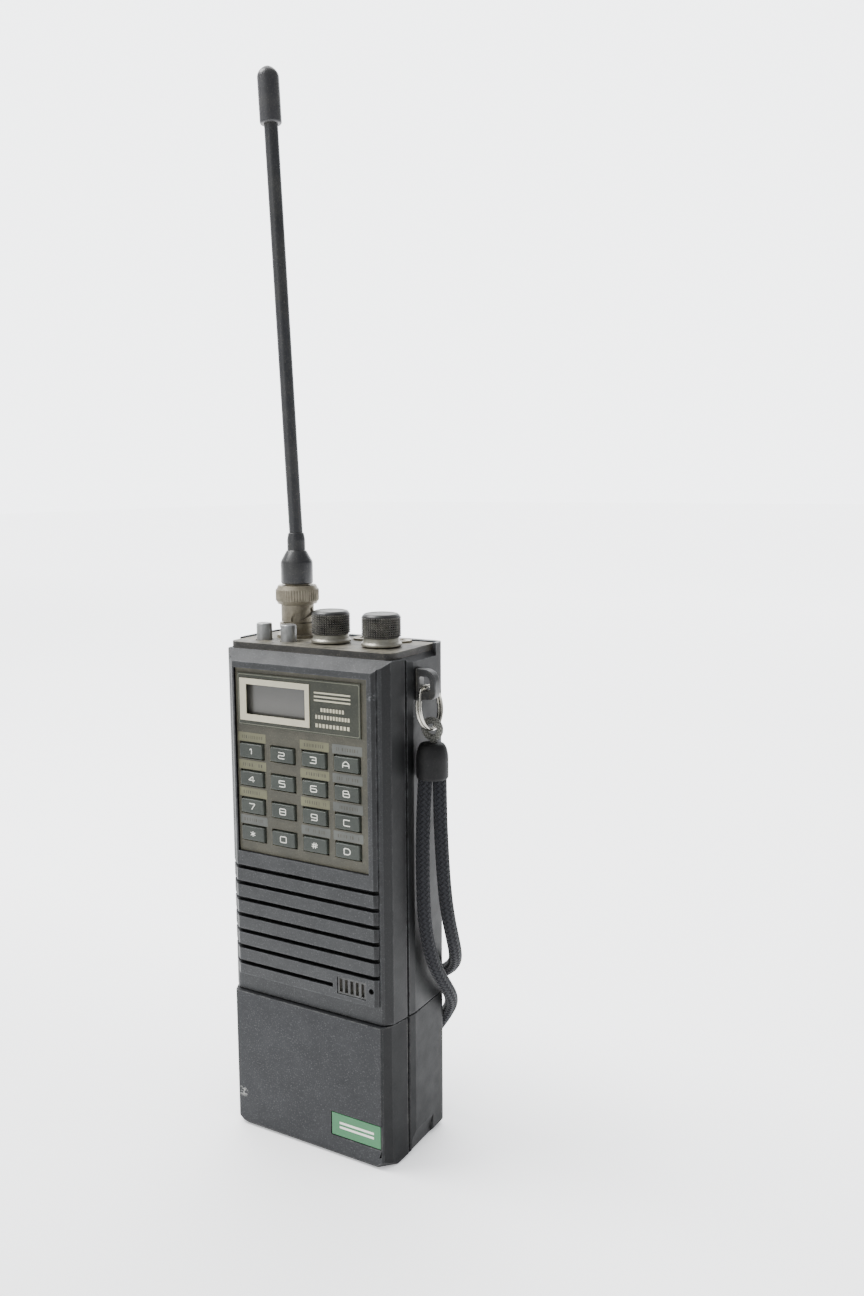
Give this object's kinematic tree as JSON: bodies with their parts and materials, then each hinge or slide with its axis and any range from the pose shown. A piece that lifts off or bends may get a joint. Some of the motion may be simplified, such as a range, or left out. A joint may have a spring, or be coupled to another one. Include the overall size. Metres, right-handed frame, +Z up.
{
  "type": "handheld two-way radio",
  "caption": "Handheld radio with a keypad, a small display, top knobs, a bayonet whip antenna, a clip-on battery pack and a wrist strap.",
  "frame": {"origin": "centre of the battery pack's flat base", "axes": "+X to the right seen from the front, +Y from the front face to the back, +Z up towards the antenna"},
  "size_m": [0.0773, 0.0415, 0.346],
  "materials": {
    "case_plastic": "fine moulded texture, dusty",
    "dark_plastic": "worn, slightly shiny",
    "top_plate": "dusty, darker at the edges",
    "keypad_frame": "faded print",
    "panel_olive": "satin",
    "frame_cream": "satin",
    "lcd": "dull grey cover",
    "key_cap": "satin, printed",
    "rubber": "matte",
    "board": "soldered board",
    "speaker_metal": "black",
    "nickel": "tarnished nickel plate",
    "aluminium": "satin",
    "contact": "plated",
    "screw_steel": "blackened",
    "ring_steel": "worn plate",
    "cord_fabric": "round braid",
    "eyelet_cord": "thin cord loop",
    "boot_rubber": "dusty grey",
    "antenna_rubber": "semi-gloss sleeve",
    "cell_wrap": "shrink wrap",
    "badge_green": "printed label"
  },
  "bodies": {
    "radio": {"front_case": "case_plastic", "rear_case": "case_plastic", "top_plate": "top_plate", "keypad_plate": "keypad_frame", "display_lens": "panel_olive", "display_bezel": "frame_cream", "lcd_module": "lcd", "keypad_mat": "rubber", "main_board": "board", "rf_board": "board", "speaker": "speaker_metal", "microphone": "nickel", "mic_grille": "aluminium", "control_pots": "aluminium", "button_switches": "dark_plastic", "bnc_jack": "nickel", "ear_jack": "nickel", "mic_jack": "nickel", "rail_plate": "dark_plastic", "power_contacts": "contact", "case_screws": "screw_steel", "strap_lug": "dark_plastic"},
    "key_1": {"key_1": "key_cap"},
    "key_2": {"key_2": "key_cap"},
    "key_3": {"key_3": "key_cap"},
    "key_a": {"key_a": "key_cap"},
    "key_4": {"key_4": "key_cap"},
    "key_5": {"key_5": "key_cap"},
    "key_6": {"key_6": "key_cap"},
    "key_b": {"key_b": "key_cap"},
    "key_7": {"key_7": "key_cap"},
    "key_8": {"key_8": "key_cap"},
    "key_9": {"key_9": "key_cap"},
    "key_c": {"key_c": "key_cap"},
    "key_star": {"key_star": "key_cap"},
    "key_0": {"key_0": "key_cap"},
    "key_hash": {"key_hash": "key_cap"},
    "key_d": {"key_d": "key_cap"},
    "volume": {"volume_knob": "dark_plastic", "volume_skirt": "aluminium"},
    "squelch": {"squelch_knob": "dark_plastic", "squelch_skirt": "aluminium"},
    "light_button": {"light_button": "aluminium"},
    "function_button": {"function_button": "aluminium"},
    "ptt_button": {"ptt_button": "dark_plastic"},
    "pack_release": {"pack_release": "dark_plastic"},
    "antenna": {"antenna_whip": "antenna_rubber", "antenna_cap": "antenna_rubber", "antenna_boot": "antenna_rubber", "antenna_plug": "nickel"},
    "collar": {"bnc_collar": "nickel"},
    "ring": {"split_ring": "ring_steel"},
    "strap": {"strap_eyelet": "eyelet_cord", "strap_boot": "boot_rubber", "strap_cord": "cord_fabric"},
    "pack": {"pack_front_shell": "case_plastic", "pack_rear_shell": "case_plastic", "pack_cells": "cell_wrap", "pack_badge": "badge_green", "pack_contacts": "contact"}
  },
  "joints": [
    {"name": "key_1_press", "type": "slide", "parent": "radio", "child": "key_1", "axis": [0, 1, 0], "range_m": [0, 0.0007], "stiffness_N_per_m": 700, "springref_m": -0.0003},
    {"name": "key_2_press", "type": "slide", "parent": "radio", "child": "key_2", "axis": [0, 1, 0], "range_m": [0, 0.0007], "stiffness_N_per_m": 700, "springref_m": -0.0003},
    {"name": "key_3_press", "type": "slide", "parent": "radio", "child": "key_3", "axis": [0, 1, 0], "range_m": [0, 0.0007], "stiffness_N_per_m": 700, "springref_m": -0.0003},
    {"name": "key_a_press", "type": "slide", "parent": "radio", "child": "key_a", "axis": [0, 1, 0], "range_m": [0, 0.0007], "stiffness_N_per_m": 700, "springref_m": -0.0003},
    {"name": "key_4_press", "type": "slide", "parent": "radio", "child": "key_4", "axis": [0, 1, 0], "range_m": [0, 0.0007], "stiffness_N_per_m": 700, "springref_m": -0.0003},
    {"name": "key_5_press", "type": "slide", "parent": "radio", "child": "key_5", "axis": [0, 1, 0], "range_m": [0, 0.0007], "stiffness_N_per_m": 700, "springref_m": -0.0003},
    {"name": "key_6_press", "type": "slide", "parent": "radio", "child": "key_6", "axis": [0, 1, 0], "range_m": [0, 0.0007], "stiffness_N_per_m": 700, "springref_m": -0.0003},
    {"name": "key_b_press", "type": "slide", "parent": "radio", "child": "key_b", "axis": [0, 1, 0], "range_m": [0, 0.0007], "stiffness_N_per_m": 700, "springref_m": -0.0003},
    {"name": "key_7_press", "type": "slide", "parent": "radio", "child": "key_7", "axis": [0, 1, 0], "range_m": [0, 0.0007], "stiffness_N_per_m": 700, "springref_m": -0.0003},
    {"name": "key_8_press", "type": "slide", "parent": "radio", "child": "key_8", "axis": [0, 1, 0], "range_m": [0, 0.0007], "stiffness_N_per_m": 700, "springref_m": -0.0003},
    {"name": "key_9_press", "type": "slide", "parent": "radio", "child": "key_9", "axis": [0, 1, 0], "range_m": [0, 0.0007], "stiffness_N_per_m": 700, "springref_m": -0.0003},
    {"name": "key_c_press", "type": "slide", "parent": "radio", "child": "key_c", "axis": [0, 1, 0], "range_m": [0, 0.0007], "stiffness_N_per_m": 700, "springref_m": -0.0003},
    {"name": "key_star_press", "type": "slide", "parent": "radio", "child": "key_star", "axis": [0, 1, 0], "range_m": [0, 0.0007], "stiffness_N_per_m": 700, "springref_m": -0.0003},
    {"name": "key_0_press", "type": "slide", "parent": "radio", "child": "key_0", "axis": [0, 1, 0], "range_m": [0, 0.0007], "stiffness_N_per_m": 700, "springref_m": -0.0003},
    {"name": "key_hash_press", "type": "slide", "parent": "radio", "child": "key_hash", "axis": [0, 1, 0], "range_m": [0, 0.0007], "stiffness_N_per_m": 700, "springref_m": -0.0003},
    {"name": "key_d_press", "type": "slide", "parent": "radio", "child": "key_d", "axis": [0, 1, 0], "range_m": [0, 0.0007], "stiffness_N_per_m": 700, "springref_m": -0.0003},
    {"name": "volume_turn", "type": "hinge", "parent": "radio", "child": "volume", "pos_m": [0.0012, -0.001, 0.17], "axis": [0, 0, -1], "range_deg": [-140, 140]},
    {"name": "squelch_turn", "type": "hinge", "parent": "radio", "child": "squelch", "pos_m": [0.02, -0.0008, 0.17], "axis": [0, 0, -1], "range_deg": [-140, 140]},
    {"name": "light_press", "type": "slide", "parent": "radio", "child": "light_button", "axis": [0, 0, -1], "range_m": [0, 0.0011], "stiffness_N_per_m": 900, "springref_m": -0.0004},
    {"name": "function_press", "type": "slide", "parent": "radio", "child": "function_button", "axis": [0, 0, -1], "range_m": [0, 0.0011], "stiffness_N_per_m": 900, "springref_m": -0.0004},
    {"name": "ptt_press", "type": "slide", "parent": "radio", "child": "ptt_button", "axis": [1, 0, 0], "range_m": [0, 0.0012], "stiffness_N_per_m": 1200, "springref_m": -0.0005},
    {"name": "release_press", "type": "slide", "parent": "radio", "child": "pack_release", "axis": [1, 0, 0], "range_m": [0, 0.0012], "stiffness_N_per_m": 900, "springref_m": -0.0005},
    {"name": "pack_slide", "type": "slide", "parent": "radio", "child": "pack", "axis": [-1, 0, 0], "range_m": [0, 0.065]},
    {"name": "antenna_lift", "type": "slide", "parent": "radio", "child": "antenna", "axis": [0, 0, 1], "range_m": [0, 0.003]},
    {"name": "collar_turn", "type": "hinge", "parent": "antenna", "child": "collar", "pos_m": [-0.017, 0.0062, 0.176], "axis": [0, 0, 1], "range_deg": [0, 90]},
    {"name": "ring_swing", "type": "hinge", "parent": "radio", "child": "ring", "pos_m": [0.0357, 0, 0.1539], "axis": [0, -1, 0], "range_deg": [0, 60]},
    {"name": "strap_swing", "type": "hinge", "parent": "ring", "child": "strap", "pos_m": [0.03663, 0, 0.14727], "axis": [1, 0, 0], "range_deg": [0, 45]}
  ],
  "couplings": [
    {"joint": "collar_turn", "follows": "antenna_lift", "rad_per_m": 523}
  ]
}
